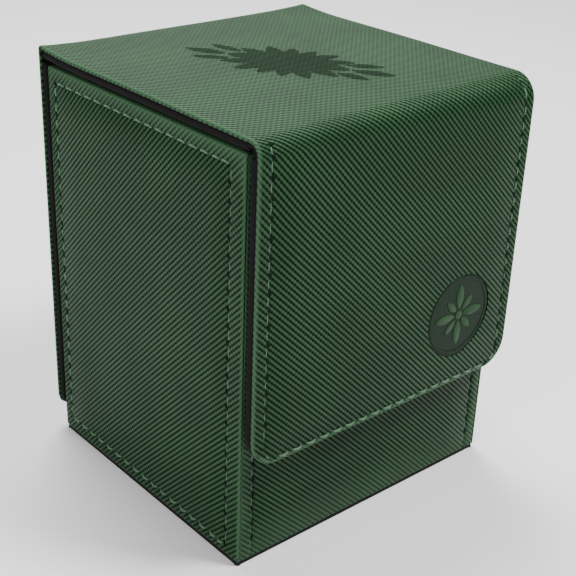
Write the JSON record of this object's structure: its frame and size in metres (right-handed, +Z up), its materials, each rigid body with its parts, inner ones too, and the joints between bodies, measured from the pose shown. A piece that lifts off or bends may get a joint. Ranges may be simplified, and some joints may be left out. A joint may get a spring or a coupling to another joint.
{
  "type": "card deck box",
  "caption": "Upright deck box for sleeved trading cards: leatherette-covered board body with a hinged wrap-over lid and a fold-down magnetic front flap.",
  "frame": {"origin": "centre of the closed box's footprint, on the surface it stands on", "axes": "+Z up; -Y towards the front flap; +X to the right seen from the front"},
  "size_m": [0.0822, 0.0826, 0.1039],
  "materials": {
    "green_leatherette": "cross-ribbed matte leatherette",
    "black_lining": "short-napped microfibre",
    "greyboard": "raw grey board",
    "black_base": "fine-grained black leatherette",
    "magnet": "nickel plated",
    "pressed_mark": "heat-pressed, smooth"
  },
  "bodies": {
    "body": {"base_cover": "black_base", "base_board": "greyboard", "front_board": "greyboard", "rear_board": "greyboard", "left_board": "greyboard", "right_board": "greyboard", "left_side_skin": "green_leatherette", "right_side_skin": "green_leatherette", "front_skin": "green_leatherette", "tray_floor": "black_lining", "tray_front_lining": "black_lining", "tray_rear_lining": "black_lining", "tray_left_lining": "black_lining", "tray_right_lining": "black_lining", "body_magnets": "magnet", "cover_back_lining": "black_lining", "cover_back_board": "greyboard", "cover_back_skin": "green_leatherette"},
    "lid": {"lid_board": "greyboard", "lid_skin": "green_leatherette", "lid_lining": "black_lining"},
    "flap": {"flap_board": "greyboard", "flap_skin": "green_leatherette", "flap_lining": "black_lining", "flap_magnets": "magnet", "flap_badge": "pressed_mark"}
  },
  "joints": [
    {"name": "lid_hinge", "type": "hinge", "parent": "body", "child": "lid", "pos_m": [0, 0.04135, 0.1039], "axis": [-1, 0, 0], "range_deg": [0, 175]},
    {"name": "flap_fold", "type": "hinge", "parent": "lid", "child": "flap", "pos_m": [0, -0.03989, 0.10244], "axis": [-1, 0, 0], "range_deg": [0, 120]}
  ]
}
